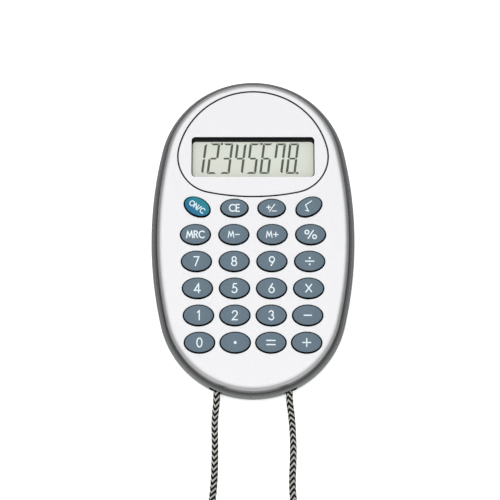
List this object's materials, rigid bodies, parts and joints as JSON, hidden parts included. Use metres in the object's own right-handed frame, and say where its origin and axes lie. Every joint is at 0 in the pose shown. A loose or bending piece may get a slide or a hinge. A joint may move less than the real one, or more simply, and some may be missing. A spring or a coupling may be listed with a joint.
{
  "type": "pocket calculator",
  "caption": "Oval pocket calculator with a domed-key pad, a digit display in a rounded insert and a braided neck cord, lying on its back.",
  "frame": {"origin": "middle of the flat back, at the surface it lies on", "axes": "+Z out of the keys, +Y from the keys to the display, +X to the right of someone reading it"},
  "size_m": [0.065, 0.1778, 0.0117],
  "materials": {
    "face_silver": "metallic silver paint, satin",
    "case_grey": "metallic dark grey paint, satin",
    "lens_clear": "clear, polished",
    "lcd_glass": "clear, polished",
    "lcd_film": "polarising film, satin",
    "lcd_reflector": "pale reflective film",
    "tray_white": "moulded, matte",
    "contact_rubber": "layered conductive rubber",
    "mat_rubber": "silicone rubber, matte",
    "carbon": "carbon-filled rubber",
    "board_green": "solder mask, satin",
    "resin_black": "resin, glossy",
    "part_tan": "chip part, matte",
    "part_black": "chip part, matte",
    "cell_steel": "nickel plated",
    "contact_steel": "plated spring steel",
    "screw_steel": "zinc plated",
    "cord_braid": "round braid, black with pale grey yarns",
    "tie_black": "soft band, matte",
    "key_slate": "moulded, satin",
    "key_teal": "moulded, satin"
  },
  "bodies": {
    "case": {"board_screws": "screw_steel", "button_cell": "cell_steel", "capacitors": "part_tan", "carbon_pills": "carbon", "case_screws": "screw_steel", "chip_blob": "resin_black", "circuit_board": "board_green", "cord_coil": "cord_braid", "cord_knots": "cord_braid", "cord_left": "cord_braid", "cord_right": "cord_braid", "cord_tie": "tie_black", "display_insert": "face_silver", "display_lens": "lens_clear", "front_cover": "face_silver", "keypad_mat": "mat_rubber", "lcd_contact_strip": "contact_rubber", "lcd_frame": "tray_white", "lcd_front_film": "lcd_film", "lcd_front_glass": "lcd_glass", "lcd_rear_glass": "lcd_glass", "lcd_reflector": "lcd_reflector", "negative_contact": "contact_steel", "positive_contact": "contact_steel", "rear_cover": "case_grey", "resistors": "part_black"},
    "battery_door": {"battery_door": "case_grey"},
    "key_0": {"key_0": "key_slate"},
    "key_1": {"key_1": "key_slate"},
    "key_2": {"key_2": "key_slate"},
    "key_3": {"key_3": "key_slate"},
    "key_4": {"key_4": "key_slate"},
    "key_5": {"key_5": "key_slate"},
    "key_6": {"key_6": "key_slate"},
    "key_7": {"key_7": "key_slate"},
    "key_8": {"key_8": "key_slate"},
    "key_9": {"key_9": "key_slate"},
    "key_clear_entry": {"key_clear_entry": "key_slate"},
    "key_divide": {"key_divide": "key_slate"},
    "key_equals": {"key_equals": "key_slate"},
    "key_memory_minus": {"key_memory_minus": "key_slate"},
    "key_memory_plus": {"key_memory_plus": "key_slate"},
    "key_memory_recall": {"key_memory_recall": "key_slate"},
    "key_minus": {"key_minus": "key_slate"},
    "key_multiply": {"key_multiply": "key_slate"},
    "key_on_clear": {"key_on_clear": "key_teal"},
    "key_percent": {"key_percent": "key_slate"},
    "key_plus": {"key_plus": "key_slate"},
    "key_point": {"key_point": "key_slate"},
    "key_root": {"key_root": "key_slate"},
    "key_sign": {"key_sign": "key_slate"}
  },
  "joints": [
    {"name": "press_0", "type": "slide", "parent": "case", "child": "key_0", "axis": [0, 0, -1], "range_m": [0, 0.0008], "stiffness_N_per_m": 200, "springref_m": -0.0005, "deforming": ["keypad_mat", "carbon_pills"]},
    {"name": "press_1", "type": "slide", "parent": "case", "child": "key_1", "axis": [0, 0, -1], "range_m": [0, 0.0008], "stiffness_N_per_m": 200, "springref_m": -0.0005, "deforming": ["keypad_mat", "carbon_pills"]},
    {"name": "press_2", "type": "slide", "parent": "case", "child": "key_2", "axis": [0, 0, -1], "range_m": [0, 0.0008], "stiffness_N_per_m": 200, "springref_m": -0.0005, "deforming": ["keypad_mat", "carbon_pills"]},
    {"name": "press_3", "type": "slide", "parent": "case", "child": "key_3", "axis": [0, 0, -1], "range_m": [0, 0.0008], "stiffness_N_per_m": 200, "springref_m": -0.0005, "deforming": ["keypad_mat", "carbon_pills"]},
    {"name": "press_4", "type": "slide", "parent": "case", "child": "key_4", "axis": [0, 0, -1], "range_m": [0, 0.0008], "stiffness_N_per_m": 200, "springref_m": -0.0005, "deforming": ["keypad_mat", "carbon_pills"]},
    {"name": "press_5", "type": "slide", "parent": "case", "child": "key_5", "axis": [0, 0, -1], "range_m": [0, 0.0008], "stiffness_N_per_m": 200, "springref_m": -0.0005, "deforming": ["keypad_mat", "carbon_pills"]},
    {"name": "press_6", "type": "slide", "parent": "case", "child": "key_6", "axis": [0, 0, -1], "range_m": [0, 0.0008], "stiffness_N_per_m": 200, "springref_m": -0.0005, "deforming": ["keypad_mat", "carbon_pills"]},
    {"name": "press_7", "type": "slide", "parent": "case", "child": "key_7", "axis": [0, 0, -1], "range_m": [0, 0.0008], "stiffness_N_per_m": 200, "springref_m": -0.0005, "deforming": ["keypad_mat", "carbon_pills"]},
    {"name": "press_8", "type": "slide", "parent": "case", "child": "key_8", "axis": [0, 0, -1], "range_m": [0, 0.0008], "stiffness_N_per_m": 200, "springref_m": -0.0005, "deforming": ["keypad_mat", "carbon_pills"]},
    {"name": "press_9", "type": "slide", "parent": "case", "child": "key_9", "axis": [0, 0, -1], "range_m": [0, 0.0008], "stiffness_N_per_m": 200, "springref_m": -0.0005, "deforming": ["keypad_mat", "carbon_pills"]},
    {"name": "press_clear_entry", "type": "slide", "parent": "case", "child": "key_clear_entry", "axis": [0, 0, -1], "range_m": [0, 0.0008], "stiffness_N_per_m": 200, "springref_m": -0.0005, "deforming": ["keypad_mat", "carbon_pills"]},
    {"name": "press_divide", "type": "slide", "parent": "case", "child": "key_divide", "axis": [0, 0, -1], "range_m": [0, 0.0008], "stiffness_N_per_m": 200, "springref_m": -0.0005, "deforming": ["keypad_mat", "carbon_pills"]},
    {"name": "press_equals", "type": "slide", "parent": "case", "child": "key_equals", "axis": [0, 0, -1], "range_m": [0, 0.0008], "stiffness_N_per_m": 200, "springref_m": -0.0005, "deforming": ["keypad_mat", "carbon_pills"]},
    {"name": "press_memory_minus", "type": "slide", "parent": "case", "child": "key_memory_minus", "axis": [0, 0, -1], "range_m": [0, 0.0008], "stiffness_N_per_m": 200, "springref_m": -0.0005, "deforming": ["keypad_mat", "carbon_pills"]},
    {"name": "press_memory_plus", "type": "slide", "parent": "case", "child": "key_memory_plus", "axis": [0, 0, -1], "range_m": [0, 0.0008], "stiffness_N_per_m": 200, "springref_m": -0.0005, "deforming": ["keypad_mat", "carbon_pills"]},
    {"name": "press_memory_recall", "type": "slide", "parent": "case", "child": "key_memory_recall", "axis": [0, 0, -1], "range_m": [0, 0.0008], "stiffness_N_per_m": 200, "springref_m": -0.0005, "deforming": ["keypad_mat", "carbon_pills"]},
    {"name": "press_minus", "type": "slide", "parent": "case", "child": "key_minus", "axis": [0, 0, -1], "range_m": [0, 0.0008], "stiffness_N_per_m": 200, "springref_m": -0.0005, "deforming": ["keypad_mat", "carbon_pills"]},
    {"name": "press_multiply", "type": "slide", "parent": "case", "child": "key_multiply", "axis": [0, 0, -1], "range_m": [0, 0.0008], "stiffness_N_per_m": 200, "springref_m": -0.0005, "deforming": ["keypad_mat", "carbon_pills"]},
    {"name": "press_on_clear", "type": "slide", "parent": "case", "child": "key_on_clear", "axis": [0, 0, -1], "range_m": [0, 0.0008], "stiffness_N_per_m": 200, "springref_m": -0.0005, "deforming": ["keypad_mat", "carbon_pills"]},
    {"name": "press_percent", "type": "slide", "parent": "case", "child": "key_percent", "axis": [0, 0, -1], "range_m": [0, 0.0008], "stiffness_N_per_m": 200, "springref_m": -0.0005, "deforming": ["keypad_mat", "carbon_pills"]},
    {"name": "press_plus", "type": "slide", "parent": "case", "child": "key_plus", "axis": [0, 0, -1], "range_m": [0, 0.0008], "stiffness_N_per_m": 200, "springref_m": -0.0005, "deforming": ["keypad_mat", "carbon_pills"]},
    {"name": "press_point", "type": "slide", "parent": "case", "child": "key_point", "axis": [0, 0, -1], "range_m": [0, 0.0008], "stiffness_N_per_m": 200, "springref_m": -0.0005, "deforming": ["keypad_mat", "carbon_pills"]},
    {"name": "press_root", "type": "slide", "parent": "case", "child": "key_root", "axis": [0, 0, -1], "range_m": [0, 0.0008], "stiffness_N_per_m": 200, "springref_m": -0.0005, "deforming": ["keypad_mat", "carbon_pills"]},
    {"name": "press_sign", "type": "slide", "parent": "case", "child": "key_sign", "axis": [0, 0, -1], "range_m": [0, 0.0008], "stiffness_N_per_m": 200, "springref_m": -0.0005, "deforming": ["keypad_mat", "carbon_pills"]},
    {"name": "battery_door_hinge", "type": "hinge", "parent": "case", "child": "battery_door", "pos_m": [0, -0.00765, 0.00075], "axis": [1, 0, 0], "range_deg": [0, 100]}
  ]
}
